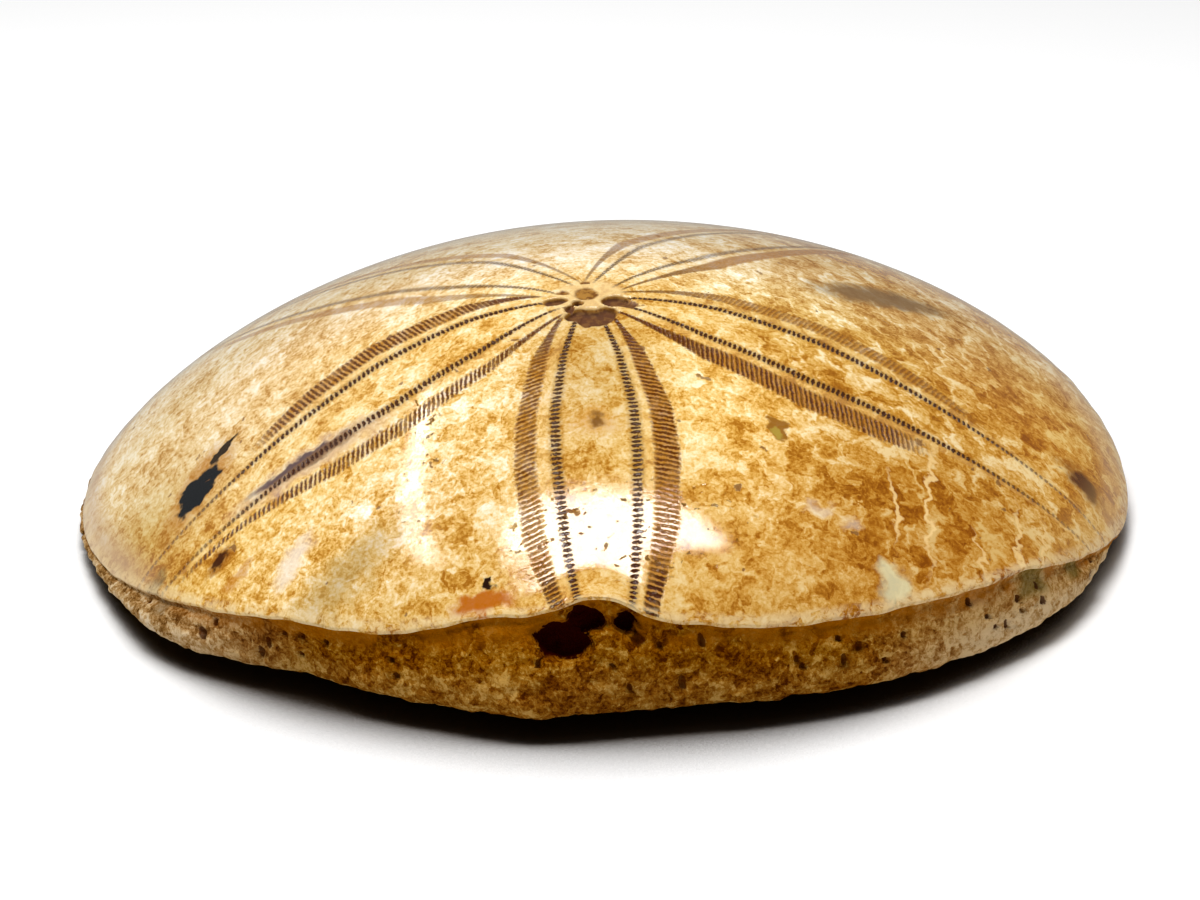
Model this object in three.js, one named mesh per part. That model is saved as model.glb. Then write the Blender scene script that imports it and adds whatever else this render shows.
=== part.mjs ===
// A fossil sea urchin: one low domed stone, polished on top and left rough below its rim.
// Millimetres. +X across the stone, +Y towards its back, +Z up from the surface it rests on.
import * as THREE from "three";

// Plan outline: an egg-shaped, faintly five-cornered ring around the stone's middle.
const PLAN_RADIUS = 38;
// Each wave adds cos(turns * angle) and sin(turns * angle) parts of the plan radius.
const OUTLINE_WAVES = [
  { turns: 1, cos: -0.051, sin: 0.077 },
  { turns: 2, cos: 0.035, sin: -0.043 },
  { turns: 3, cos: -0.003, sin: 0.004 },
  { turns: 5, cos: 0, sin: 0.008 },
];
const OUTLINE_SWELLS = [{ angle: -10, out: 0.5, spread: 16 }]; // a slight bulge at the right end

// Dome: it rises from the polished rim to a peak a little in front of and left of the middle.
const PEAK = { x: -2.6, y: -3.8, z: 21.5 };
// How early the slope starts (2 is round, 1 is a cone) and how full the dome is just inside the rim.
const FRONT_SECTION = { fall: 1.37, shoulder: 1.17 };
const BACK_SECTION = { fall: 1.21, shoulder: 1.35 };
const PEAK_ROUNDING = 0.14; // share of the radius over which the tip is rounded off

// Rim: the polished edge, a wavy line that runs low at the two sides and high at front and back.
const RIM_HEIGHT = 6.75;
const RIM_WAVES = [
  { turns: 1, cos: 0.7, sin: 1.85 },
  { turns: 2, cos: -3.65, sin: 0.55 },
  { turns: 4, cos: -0.4, sin: 0.1 },
];
const RIM_BACK_DROP = 3;
// The rim bends up and down along its way, and arches up most where a petal reaches it.
const RIM_BENDS = [
  { angle: -119, rise: -0.7, spread: 9 },
  { angle: -104, rise: 0.6, spread: 8 },
  { angle: -94, rise: 1.7, spread: 5 },
  { angle: -73, rise: -0.7, spread: 13 },
  { angle: -54, rise: 0.2, spread: 8 },
  { angle: -44, rise: 0.6, spread: 7 },
  { angle: -14, rise: -1.3, spread: 14 },
  { angle: 60, rise: 0.8, spread: 7 },
  { angle: 134, rise: 0.8, spread: 7 },
];
const BEND_FADE = 20; // the bends fade away up the dome as this power of the share of the way out
const RIM_OVERHANG = 0.4; // the rough flank starts this far inside the polished edge
const RIM_THICKNESS = 0.6; // height of the polished edge above that step

// Flank: rough stone from the rim down to the lower edge, which clears the ground.
const EDGE_HEIGHT = 1.1;
const EDGE_WAVES = [{ turns: 1, cos: 0, sin: -0.4 }];
const EDGE_ROUNDING = 1.1;
const EDGE_SWELL = 0.3;
// Broken corners and hollows along the lower edge: how far each stands out from the outline.
const EDGE_SWELLS = [
  { angle: -150, out: 1.0, spread: 10 },
  { angle: -130, out: -0.9, spread: 7 },
  { angle: -102, out: 1.2, spread: 9 },
  { angle: -36, out: 0.4, spread: 10 },
  { angle: -4, out: -1.6, spread: 20 },
];

// Underside: it curves in from the lower edge to a flat resting face with a small mouth hollow.
const REST_SHARE = 0.62; // the resting face reaches this share of the way out to the edge
const MOUTH_SHARE = 0.1;
const MOUTH_DEPTH = 1.2;

const SEGMENTS = 80;
const DOME_RINGS = 17;
const FLANK_RINGS = 3;
const UNDERSIDE_RINGS = 4;

const { degToRad: radians, lerp } = THREE.MathUtils;

// Sum of the waves at an angle round the stone, in the waves' own unit.
function waves(list, angle) {
  const one = (w) => w.cos * Math.cos(w.turns * angle) + w.sin * Math.sin(w.turns * angle);
  return list.reduce((sum, wave) => sum + one(wave), 0);
}

// Sum of soft bumps at an angle; each spread is in degrees and size is the bump's height field.
function bumps(list, angle, size) {
  const one = (bump) => {
    const away = Math.atan2(Math.sin(angle - radians(bump.angle)), Math.cos(angle - radians(bump.angle)));
    return bump[size] * Math.exp(-((away / radians(bump.spread)) ** 2));
  };
  return list.reduce((sum, bump) => sum + one(bump), 0);
}

function outlineRadius(angle) {
  return PLAN_RADIUS * (1 + waves(OUTLINE_WAVES, angle)) + bumps(OUTLINE_SWELLS, angle, "out");
}
// How far an angle faces the back: 1 at the middle of the back, 0 all along the front half.
const backness = (angle) => Math.max(Math.sin(angle), 0) ** 2;
const baseRim = (angle) => RIM_HEIGHT + waves(RIM_WAVES, angle) - RIM_BACK_DROP * backness(angle);
const bendRise = (angle) => bumps(RIM_BENDS, angle, "rise");
const rimHeight = (angle) => baseRim(angle) + bendRise(angle);
const edgeHeight = (angle) => EDGE_HEIGHT + waves(EDGE_WAVES, angle);
const edgeRadius = (angle) => outlineRadius(angle) + EDGE_SWELL + bumps(EDGE_SWELLS, angle, "out");

// A point at a radius and height, measured from the middle of the outline.
function pointAt(angle, radius, height) {
  return new THREE.Vector3(radius * Math.cos(angle), radius * Math.sin(angle), height);
}

// Dome surface: share 0 is the peak and share 1 the rim.
function domePoint(angle, share) {
  const rounded = (s) => Math.hypot(s, PEAK_ROUNDING) - PEAK_ROUNDING;
  const section = (key) => lerp(FRONT_SECTION[key], BACK_SECTION[key], backness(angle));
  const fallen = Math.min(rounded(share) / rounded(1), 1) ** section("fall");
  const rim = baseRim(angle) + bendRise(angle) * share ** BEND_FADE;
  const height = rim + (PEAK.z - rim) * (1 - fallen) ** (1 / section("shoulder"));
  const peak = new THREE.Vector3(PEAK.x, PEAK.y, height);
  return peak.lerp(pointAt(angle, outlineRadius(angle), height), share);
}

// Flank surface: share 0 is just under the polished edge and share 1 the start of the lower corner.
function flankPoint(angle, share) {
  const top = pointAt(angle, outlineRadius(angle) - RIM_OVERHANG, rimHeight(angle) - RIM_THICKNESS);
  const low = edgeHeight(angle) + Math.min(EDGE_ROUNDING, (top.z - edgeHeight(angle)) / 2);
  const swell = 1 - (1 - share) ** 2;
  const radius = lerp(outlineRadius(angle) - RIM_OVERHANG, edgeRadius(angle), swell);
  return pointAt(angle, radius, lerp(top.z, low, share));
}

// Underside: share 1 is the lower edge and REST_SHARE the rim of the flat resting face.
function undersidePoint(angle, share) {
  const inward = Math.max(share - REST_SHARE, 0) / (1 - REST_SHARE);
  const height = edgeHeight(angle) * inward ** 2;
  const middle = new THREE.Vector3(PEAK.x, PEAK.y, height);
  return middle.lerp(pointAt(angle, edgeRadius(angle) - EDGE_ROUNDING, height), share);
}

// All rings from the peak down to the mouth; each is a function of the angle.
function stoneRings() {
  const rings = [];
  for (let i = 1; i <= DOME_RINGS; i++) {
    const share = Math.sin((i / DOME_RINGS) * (Math.PI / 2));
    rings.push((angle) => domePoint(angle, share));
  }
  for (let i = 0; i <= FLANK_RINGS; i++) {
    rings.push((angle) => flankPoint(angle, i / FLANK_RINGS));
  }
  for (let i = 0; i < UNDERSIDE_RINGS; i++) {
    const share = lerp(1, REST_SHARE, i / UNDERSIDE_RINGS);
    rings.push((angle) => undersidePoint(angle, share));
  }
  rings.push((angle) => undersidePoint(angle, REST_SHARE));
  rings.push((angle) => undersidePoint(angle, MOUTH_SHARE));
  rings.push((angle) => undersidePoint(angle, MOUTH_SHARE / 2).setZ(MOUTH_DEPTH));
  return rings;
}

// Skins the rings into one closed body, with a point at the top and one in the mouth.
function skinRings(rings, top, bottom) {
  const positions = [...top.toArray()];
  for (const ring of rings) {
    for (let i = 0; i < SEGMENTS; i++) {
      positions.push(...ring((i / SEGMENTS) * 2 * Math.PI).toArray());
    }
  }
  positions.push(...bottom.toArray());
  const last = positions.length / 3 - 1;
  const at = (ring, i) => 1 + ring * SEGMENTS + (i % SEGMENTS);
  const faces = [];
  for (let i = 0; i < SEGMENTS; i++) {
    faces.push(0, at(0, i), at(0, i + 1));
    for (let ring = 0; ring < rings.length - 1; ring++) {
      faces.push(at(ring, i), at(ring + 1, i), at(ring + 1, i + 1));
      faces.push(at(ring, i), at(ring + 1, i + 1), at(ring, i + 1));
    }
    faces.push(at(rings.length - 1, i), last, at(rings.length - 1, i + 1));
  }
  const skin = new THREE.BufferGeometry();
  skin.setAttribute("position", new THREE.Float32BufferAttribute(positions, 3));
  skin.setIndex(faces);
  return skin;
}

// The origin is under the middle of the stone, on the surface it rests on.
function centreOnGround(geometry) {
  geometry.computeBoundingBox();
  const middle = geometry.boundingBox.getCenter(new THREE.Vector3());
  geometry.translate(-middle.x, -middle.y, 0);
  geometry.computeVertexNormals();
  return geometry;
}

const peak = new THREE.Vector3(PEAK.x, PEAK.y, PEAK.z);
const mouth = new THREE.Vector3(PEAK.x, PEAK.y, MOUTH_DEPTH);
const stone = new THREE.Mesh(
  centreOnGround(skinRings(stoneRings(), peak, mouth)),
  new THREE.MeshStandardMaterial({ color: 0xc99a5b, roughness: 0.3, metalness: 0 }),
);
stone.name = "fossil_urchin";

const fossil = new THREE.Group();
fossil.add(stone);

export default fossil;
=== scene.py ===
import math

import bpy
import numpy as np
from mathutils import Matrix, Vector, noise


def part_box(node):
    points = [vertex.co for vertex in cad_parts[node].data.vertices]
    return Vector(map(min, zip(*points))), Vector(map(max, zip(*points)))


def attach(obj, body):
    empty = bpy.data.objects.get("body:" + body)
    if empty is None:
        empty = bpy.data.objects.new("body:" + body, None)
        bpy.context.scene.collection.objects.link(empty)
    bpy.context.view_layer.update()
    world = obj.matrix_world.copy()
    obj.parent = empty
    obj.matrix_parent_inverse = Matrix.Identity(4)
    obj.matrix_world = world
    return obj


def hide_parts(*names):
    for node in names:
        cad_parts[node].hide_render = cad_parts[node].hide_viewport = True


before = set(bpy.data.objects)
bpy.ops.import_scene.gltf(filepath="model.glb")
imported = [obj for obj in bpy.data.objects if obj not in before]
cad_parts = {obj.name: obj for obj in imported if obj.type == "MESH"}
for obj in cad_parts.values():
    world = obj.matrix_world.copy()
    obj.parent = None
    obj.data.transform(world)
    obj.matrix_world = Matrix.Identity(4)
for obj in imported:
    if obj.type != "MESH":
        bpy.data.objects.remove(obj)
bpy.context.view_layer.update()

MM = 0.001

# ---------------------------------------------------------------------------------------------
# Camera. A short telephoto lens, 19 cm from the stone, looks down on it from the front at a low
# angle, with the horizon tipped a little, so that the wide dome nearly fills the frame.

LENS_MM = 75.2
SENSOR_MM = 36.0
CAMERA_DISTANCE = 189.2 * MM
CAMERA_ELEVATION = math.radians(23.0)
CAMERA_ROLL = math.radians(-3.0)
CAMERA_TARGET = Vector((0.57, -3.2, 5.76)) * MM

toward_camera = Vector((0, -math.cos(CAMERA_ELEVATION), math.sin(CAMERA_ELEVATION)))
lens = bpy.data.cameras.new("camera")
lens.lens = LENS_MM
lens.sensor_width = SENSOR_MM
camera = bpy.data.objects.new("camera", lens)
looking = toward_camera.to_track_quat("Z", "Y").to_matrix().to_4x4()
camera.matrix_world = (
    Matrix.Translation(CAMERA_TARGET + CAMERA_DISTANCE * toward_camera)
    @ looking
    @ Matrix.Rotation(CAMERA_ROLL, 4, "Z")
)
bpy.context.scene.collection.objects.link(camera)
bpy.context.scene.camera = camera

# ---------------------------------------------------------------------------------------------
# The stone. A sea urchin's low domed shell, turned to honey-coloured calcite and filled with
# hardened sediment. Its top was ground and polished down to a wavy rim; below that, and
# underneath, the sediment was left rough.

NODE = "fossil_urchin"

# Plan, dome, rim and lower edge, in millimetres round the stone's own middle. A wave is (turns
# round the stone, cosine part, sine part). A bump is (angle from +X, size, spread), in degrees.
PLAN_RADIUS = 38.0
OUTLINE_WAVES = [(1, -0.051, 0.077), (2, 0.035, -0.043), (3, -0.003, 0.004), (5, 0, 0.008)]
OUTLINE_SWELLS = [(-10, 0.5, 16)]
PEAK = (-2.6, -3.8, 21.5)
PEAK_ROUNDING = 0.14
FRONT_FALL, BACK_FALL = 1.37, 1.21
FRONT_SHOULDER, BACK_SHOULDER = 1.17, 1.35
# The polished rim runs low at the two sides and high at front and back, and arches over a petal.
RIM_HEIGHT = 6.75
RIM_WAVES = [(1, 0.7, 1.85), (2, -3.65, 0.55), (4, -0.4, 0.1)]
RIM_BACK_DROP = 3.0
RIM_BENDS = [
    (-119, -0.7, 9),
    (-104, 0.6, 8),
    (-94, 1.7, 5),
    (-73, -0.7, 13),
    (-54, 0.2, 8),
    (-44, 0.6, 7),
    (-14, -1.3, 14),
    (60, 0.8, 7),
    (134, 0.8, 7),
]
BEND_FADE = 20  # the bends fade away up the dome as this power of the share of the way out
RIM_NICKS = [(17, 0.03, -0.02), (29, -0.02, 0.025), (47, 0.03, 0.02), (83, 0.02, -0.025)]
NICK_FADE = 60
RIM_OVERHANG = 0.15
RIM_THICKNESS = 0.6
# The lip stands out less at the two ends.
LIP_FADES = [(-178, -0.8, 26), (-10, -0.8, 18)]
# The rough flank swells a little on its way down to a lower edge that clears the ground.
EDGE_HEIGHT = 1.1
EDGE_WAVES = [(1, 0, -0.4)]
EDGE_ROUNDING = 1.1
EDGE_SWELL = 0.3
EDGE_SWELLS = [(-150, 1.0, 10), (-130, -0.9, 7), (-102, 1.2, 9), (-36, 0.4, 10), (-4, -1.6, 20)]
# The flat resting face and the mouth hollow, as shares of the way out from under the peak.
REST_SHARE = 0.62
MOUTH_SHARE = 0.1
MOUTH_DEPTH = 1.2

# Mesh steps: round the stone, then down each stretch of the skin.
SEGMENTS = 640
DOME_RINGS = 80
SHOULDER_RINGS = 9
FLANK_RINGS = 30
CORNER_RINGS = 5
UNDERSIDE_RINGS = 20


def waves(parts, angle):
    return sum(c * np.cos(turns * angle) + s * np.sin(turns * angle) for turns, c, s in parts)


def bumps(parts, angle):
    total = np.zeros_like(angle)
    for middle, size, spread in parts:
        away = np.angle(np.exp(1j * (angle - math.radians(middle))))
        total += size * np.exp(-((away / math.radians(spread)) ** 2))
    return total


def backness(angle):
    return np.maximum(np.sin(angle), 0) ** 2


def outline_radius(angle):
    return PLAN_RADIUS * (1 + waves(OUTLINE_WAVES, angle)) + bumps(OUTLINE_SWELLS, angle)


def base_rim(angle):
    return RIM_HEIGHT + waves(RIM_WAVES, angle) - RIM_BACK_DROP * backness(angle)


def rim_height(angle):
    return base_rim(angle) + bumps(RIM_BENDS, angle) + waves(RIM_NICKS, angle)


def edge_height(angle):
    return EDGE_HEIGHT + waves(EDGE_WAVES, angle)


def edge_radius(angle):
    return outline_radius(angle) + EDGE_SWELL + bumps(EDGE_SWELLS, angle)


def ring_at(angle, radius, height):
    height = np.broadcast_to(height, angle.shape)
    return np.stack([radius * np.cos(angle), radius * np.sin(angle), height], axis=-1)


def mixed(a, b, share):
    return a + (b - a) * share


def smooth_step(low, high, value):
    x = np.clip((value - low) / (high - low), 0, 1)
    return x * x * (3 - 2 * x)


# Which outline angle, and what share of the way out, a plan point has as seen from the peak.
_angles = np.linspace(-math.pi, 3 * math.pi, 4001)
_rays = ring_at(_angles, outline_radius(_angles), 0)[:, :2] - np.array(PEAK[:2])
_bearings = np.unwrap(np.arctan2(_rays[:, 1], _rays[:, 0]))
_reach = np.hypot(_rays[:, 0], _rays[:, 1])


def dome_place(x, y):
    dx, dy = x - PEAK[0], y - PEAK[1]
    bearing = np.mod(np.arctan2(dy, dx) - _bearings[0], 2 * math.pi) + _bearings[0]
    angle = np.interp(bearing, _bearings, _angles)
    reach = np.interp(bearing, _bearings, _reach)
    return angle, np.clip(np.hypot(dx, dy) / reach, 0, 1)


def dome_height(x, y):
    angle, share = dome_place(x, y)
    back = backness(angle)
    rounded = np.hypot(share, PEAK_ROUNDING) - PEAK_ROUNDING
    full = math.hypot(1, PEAK_ROUNDING) - PEAK_ROUNDING
    fallen = np.minimum(rounded / full, 1) ** mixed(FRONT_FALL, BACK_FALL, back)
    rim = base_rim(angle) + bumps(RIM_BENDS, angle) * share**BEND_FADE
    rim += waves(RIM_NICKS, angle) * share**NICK_FADE
    rise = (1 - fallen) ** (1 / mixed(FRONT_SHOULDER, BACK_SHOULDER, back))
    return rim + (PEAK[2] - rim) * rise


# Apical disc: the small plates where the five petals meet, a little in front of the peak.
DISC = np.array([-2.07, -8.98])

# The rings of the whole skin, from the disc over the dome, the rim, the flank, the lower
# corner and the underside to the mouth. Each row is one ring.
angle = np.arange(SEGMENTS) / SEGMENTS * 2 * math.pi
rim_ring = ring_at(angle, outline_radius(angle), rim_height(angle))
rows = []
dome_shares = []
SHOULDER_START = 0.985  # rings crowd together beyond this share of the way out
EVEN_PART = 0.36  # the rest of the spacing widens away from the disc
even = np.arange(1, DOME_RINGS + 1) / DOME_RINGS
dome_steps = SHOULDER_START * (EVEN_PART * even + (1 - EVEN_PART) * even**2)
shoulder = np.sin(np.arange(1, SHOULDER_RINGS + 1) / SHOULDER_RINGS * math.pi / 2)
shoulder_steps = SHOULDER_START + (1 - SHOULDER_START) * shoulder
for share in [*dome_steps, *shoulder_steps]:
    plan = mixed(DISC, rim_ring[:, :2], share)
    height = dome_height(plan[:, 0], plan[:, 1])
    rows.append(np.column_stack([plan, height]))
    dome_shares.append(share)
polished_rings = len(rows)

# The rounded polished lip: how far in and how far down each of its rings lies.
LIP_RINGS = [(0.02, 0.12), (0.06, 0.25), (0.1, 0.4), (RIM_OVERHANG, RIM_THICKNESS)]
lip = 1 + bumps(LIP_FADES, angle)
for inward, drop in LIP_RINGS:
    radius = outline_radius(angle) - inward * lip
    rows.append(ring_at(angle, radius, rim_height(angle) - drop * lip))
flank_first = len(rows) - 1

flank_top = rim_height(angle) - RIM_THICKNESS * lip
rounding = np.minimum(EDGE_ROUNDING, (flank_top - edge_height(angle)) / 2)
flank_low = edge_height(angle) + rounding
for i in range(1, FLANK_RINGS + 1):
    share = i / FLANK_RINGS
    swell = 1 - (1 - share) ** 2
    radius = mixed(outline_radius(angle) - RIM_OVERHANG * lip, edge_radius(angle), swell)
    rows.append(ring_at(angle, radius, mixed(flank_top, flank_low, share)))
flank_last = len(rows) - 1

for i in range(1, CORNER_RINGS + 1):
    turn = i / CORNER_RINGS * math.pi / 2
    radius = edge_radius(angle) - EDGE_ROUNDING * (1 - math.cos(turn))
    rows.append(ring_at(angle, radius, flank_low - rounding * math.sin(turn)))
edge_ring = ring_at(angle, edge_radius(angle) - EDGE_ROUNDING, edge_height(angle))
for i in range(1, UNDERSIDE_RINGS + 1):
    share = 1 - i / (UNDERSIDE_RINGS + 1)
    inward = max(share - REST_SHARE, 0) / (1 - REST_SHARE)
    plan = mixed(np.array(PEAK[:2]), edge_ring[:, :2], share)
    height = edge_height(angle) * inward**2 + MOUTH_DEPTH * max(1 - share / MOUTH_SHARE, 0)
    rows.append(np.column_stack([plan, height]))
grid = np.stack(rows)
RINGS = len(rows)
ring_number = np.arange(RINGS)[:, None] * np.ones(SEGMENTS)


def grid_normals(points):
    around = np.roll(points, -1, axis=1) - np.roll(points, 1, axis=1)
    down = np.gradient(points, axis=0)
    normal = np.cross(down, around)
    return normal / np.maximum(np.linalg.norm(normal, axis=-1, keepdims=True), 1e-9)


def noise_over(points, size, octaves, offset=0.0):
    flat = points.reshape(-1, 3) / size + offset
    values = [noise.fractal(Vector(p), 1.0, 2.0, octaves) for p in flat.tolist()]
    return np.array(values).reshape(points.shape[:-1])


normals = grid_normals(grid)
plain_low = grid.reshape(-1, 3).min(axis=0)
plain_high = grid.reshape(-1, 3).max(axis=0)

# Rough sediment: lumps and grains on the flank and underside, none on the polished top. Each is
# (height, size across, octaves, place in the noise).
LUMPS = [(0.17, 2.2, 3, 0.0), (0.12, 0.75, 2, 7.7)]
SHAVED = 0.03
SHAVED_UNDER = 0.1
roughness_here = smooth_step(flank_first - 1, flank_first + 4, ring_number)
under_share = smooth_step(flank_last, flank_last + CORNER_RINGS, ring_number)
rough_rows = slice(flank_first - 1, RINGS)
lumps = np.zeros(grid.shape[:2])
for rise, size, octaves, offset in LUMPS:
    lumps[rough_rows] += rise * noise_over(grid[rough_rows], size, octaves, offset)
relief = roughness_here * (lumps - SHAVED - SHAVED_UNDER * under_share)

# Pits in the flank, where grains fell out, and two ragged hollows under the rim in front.
PIT_COUNT = 90
PIT_DEPTH = 0.45
PIT_DOWN = (0.12, 0.95)  # how far down the flank, as a share
PIT_RADIUS = (0.2, 0.5)
PIT_STRETCH = (0.5, 1.3)
random = np.random.default_rng(7)
pit_mask = np.zeros(grid.shape[:2])
for _ in range(PIT_COUNT):
    where = random.uniform(0, 2 * math.pi)
    down_share = random.uniform(*PIT_DOWN)
    radius = random.uniform(*PIT_RADIUS)
    column = int(where / (2 * math.pi) * SEGMENTS) % SEGMENTS
    row = int(mixed(flank_first, flank_last, down_share))
    centre = grid[row, column]
    stretch = np.array([1, 1, random.uniform(*PIT_STRETCH)])
    away = np.linalg.norm((grid - centre) * stretch, axis=-1) / radius
    pit_mask = np.maximum(pit_mask, 1 - smooth_step(0.35, 1.1, away))
pit_mask *= smooth_step(flank_first, flank_first + 2, ring_number)
relief -= PIT_DEPTH * pit_mask

# The hollows: (angle, down from the lip, half width, half height).
HOLLOW_DEPTH = 1.3
HOLLOWS = [(-98.2, 1.7, 2.0, 1.35), (-95.6, 1.0, 1.3, 0.9), (-91.2, 0.95, 0.75, 0.7)]
wander = noise_over(grid[rough_rows], 1.3, 2, 3.1)
hollow_mask = np.zeros(grid.shape[:2])
for middle, below, half_width, half_height in HOLLOWS:
    at = np.array([math.radians(middle)])
    centre = ring_at(at, outline_radius(at), rim_height(at) - RIM_THICKNESS - below)[0]
    away = grid[rough_rows] - centre
    across = np.hypot(away[..., 0], away[..., 1]) / half_width
    reach = np.sqrt(across**2 + (away[..., 2] / half_height) ** 2) + 0.25 * wander
    hollow = 1 - smooth_step(0.75, 1.1, reach)
    hollow_mask[rough_rows] = np.maximum(hollow_mask[rough_rows], hollow)
hollow_mask *= smooth_step(flank_first - 1, flank_first, ring_number)
relief -= HOLLOW_DEPTH * hollow_mask

# The polished top is not quite true: the wheel left it faintly faceted.
FACET_HEIGHT = 0.012
FACET_SIZE = 7.0
polish_rows = slice(0, polished_rings)
relief[polish_rows] += FACET_HEIGHT * noise_over(grid[polish_rows], FACET_SIZE, 1, 2.2)

# Plates and pores of the apical disc: (x, y, half width, half depth, sunk by), from its middle.
DISC_HOLLOWS = [
    (-0.15, 0.63, 0.95, 0.95, 0.14),
    (0.3, -2.35, 1.3, 1.1, 0.55),
    (-0.65, -1.95, 1.05, 0.75, 0.5),
    (1.15, -1.9, 0.95, 0.75, 0.5),
    (1.94, -0.39, 1.05, 0.8, 0.42),
    (2.9, -0.85, 0.6, 0.45, 0.25),
    (-2.31, 0.0, 0.85, 0.42, 0.35),
    (-1.31, -1.09, 0.34, 0.36, 0.35),
    (-0.74, -0.52, 0.4, 0.34, 0.5),
    (-0.19, 2.41, 0.4, 0.28, 0.3),
    (-1.75, 1.05, 0.5, 0.36, 0.15),
]
CROOKED = 0.2  # how far the plates' edges wander
DEEP_ENOUGH = 0.35  # a hollow this deep is filled with dark stone
from_middle = grid[..., :2] - DISC
disc_dark = np.zeros(grid.shape[:2])
disc_sunk = np.zeros(grid.shape[:2])
crooked = CROOKED * noise_over(grid[polish_rows], 1.0, 2, 5.5)
from_middle[polish_rows] += np.stack([crooked, np.roll(crooked, 37, axis=1)], axis=-1)
for x, y, half_x, half_y, sunk in DISC_HOLLOWS:
    reach = np.hypot((from_middle[..., 0] - x) / half_x, (from_middle[..., 1] - y) / half_y)
    hollow = (1 - smooth_step(0.7, 1.15, reach)) * (ring_number < polished_rings)
    disc_dark = np.maximum(disc_dark, hollow * min(sunk / DEEP_ENOUGH, 1))
    disc_sunk = np.maximum(disc_sunk, sunk * hollow)
relief -= disc_sunk

grid = grid + normals * relief[..., None]
grid[..., 2] = np.maximum(grid[..., 2], 0)

# Petals: five double bands of pores that run from the disc to the rim. Half widths, in
# millimetres, are given at these shares of the petal's length: inner ones out to the row of
# round pores, and outer ones out to the far ends of the slits.
WIDTH_STEPS = [0, 0.1, 0.25, 0.45, 0.6, 0.8, 1.0]
FRONT_OUTER = [0.9, 1.75, 3.6, 5.1, 5.4, 4.95, 3.3]
FRONT_LEFT_OUTER = [0.9, 2.2, 4.05, 5.15, 5.4, 4.95, 3.3]
FRONT_INNER = [0.4, 0.85, 1.85, 2.65, 2.65, 2.35, 1.7]
SIDE_OUTER = [0.4, 1.9, 4.5, 5.9, 5.5, 3.4, 2.4]
SIDE_INNER = [0.2, 0.65, 2.0, 2.75, 2.45, 2.05, 1.6]
BACK_OUTER = [0.9, 2.3, 4.3, 4.5, 4.2, 3.6, 2.8]
BACK_INNER = [0.5, 1.1, 2.2, 2.5, 2.4, 2.0, 1.5]
PETALS = [
    # Bearing, inner half widths, then its two sides: (outer half widths, strength of the slits,
    # strength of the tinted band, share where both fade, where across the slits start).
    (
        -89.7,
        FRONT_INNER,
        (FRONT_LEFT_OUTER, 0.9, 0.7, 2.0, 1.5),
        (FRONT_OUTER, 1.0, 0.95, 2.0, 1.42),
    ),
    (-166.4, SIDE_INNER, (SIDE_OUTER, 0.95, 0.8, 0.72, 1.42), (SIDE_OUTER, 1.0, 0.35, 0.92, 1.6)),
    (-13.3, SIDE_INNER, (SIDE_OUTER, 1.0, 1.0, 0.66, 1.38), (SIDE_OUTER, 0.45, 0.8, 0.75, 1.48)),
    (137.0, BACK_INNER, (BACK_OUTER, 0.3, 0.6, 0.8, 1.5), (BACK_OUTER, 0.3, 0.6, 0.8, 1.5)),
    (58.0, BACK_INNER, (BACK_OUTER, 0.3, 0.9, 0.8, 1.4), (BACK_OUTER, 0.3, 0.7, 0.8, 1.4)),
]
FRONT_BEARING = PETALS[0][0]
PORE_PITCH = 0.34
SLIT_SLANT = 0.24
FIRST_PORES = 1.9
NARROW_START = 1.78  # near the disc, only the outer ends of the slits are open
OFF_PETAL = 9.0  # a place across that lies outside every petal
BACK_ROW_STRENGTH = 0.7
WORN_ROW_STRENGTH = 0.5  # the pore rows of all but the front petal are worn near the rim

plan = grid[:polished_rings, :, :2] - DISC
best = np.full(plan.shape[:2], np.inf)
petal = {
    name: np.zeros(grid.shape[:2])
    for name in [
        "petal_across",
        "pore_count",
        "slit_count",
        "slit_start",
        "petal_share",
        "slits",
        "band",
        "rows",
    ]
}
petal["petal_across"] += OFF_PETAL
for bearing, inner_widths, first_side, second_side in PETALS:
    turn = math.radians(bearing)
    ahead = np.array([math.cos(turn), math.sin(turn)])
    aside = np.array([-ahead[1], ahead[0]])
    steps = np.linspace(5, 70, 1400)  # every place along the petal where the rim might be
    line = DISC + steps[:, None] * ahead
    beyond = np.hypot(*line.T) - outline_radius(np.arctan2(line[:, 1], line[:, 0]))
    length = steps[np.argmax(beyond > 0)]
    along = plan @ ahead
    side = plan @ aside
    share = np.clip(along / length, 0, 1.1)
    inner = np.interp(share, WIDTH_STEPS, inner_widths)
    outer = np.where(
        side < 0,
        np.interp(share, WIDTH_STEPS, first_side[0]),
        np.interp(share, WIDTH_STEPS, second_side[0]),
    )
    width = np.abs(side)
    across = np.where(width < inner, width / inner, 1 + (width - inner) / (outer - inner))
    across = np.where(along < 0, OFF_PETAL, across)
    slit_count = (along - SLIT_SLANT * (width - inner)) / PORE_PITCH
    chosen = across < best
    best = np.where(chosen, across, best)
    sides = np.where(side[..., None] < 0, first_side[1:], second_side[1:])
    slits, band, fade, start = sides.transpose(2, 0, 1)
    start = mixed(NARROW_START, start, smooth_step(0.08, 0.3, share))
    begun = smooth_step(FIRST_PORES, FIRST_PORES + 0.5, along)
    fade = begun * (1 - smooth_step(fade - 0.06, fade + 0.04, share))
    wear_and_sheen = 0.0 if bearing == FRONT_BEARING else 1 - WORN_ROW_STRENGTH
    row_fade = begun * (1 - wear_and_sheen * smooth_step(0.7, 0.95, share))
    row_fade *= BACK_ROW_STRENGTH if bearing > 0 else 1.0
    values = {
        "petal_across": across,
        "pore_count": along / PORE_PITCH,
        "slit_count": slit_count,
        "slit_start": start,
        "petal_share": share,
        "slits": slits * fade,
        "band": band * fade,
        "rows": row_fade,
    }
    for name, value in values.items():
        petal[name][:polished_rings] = np.where(chosen, value, petal[name][:polished_rings])

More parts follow.
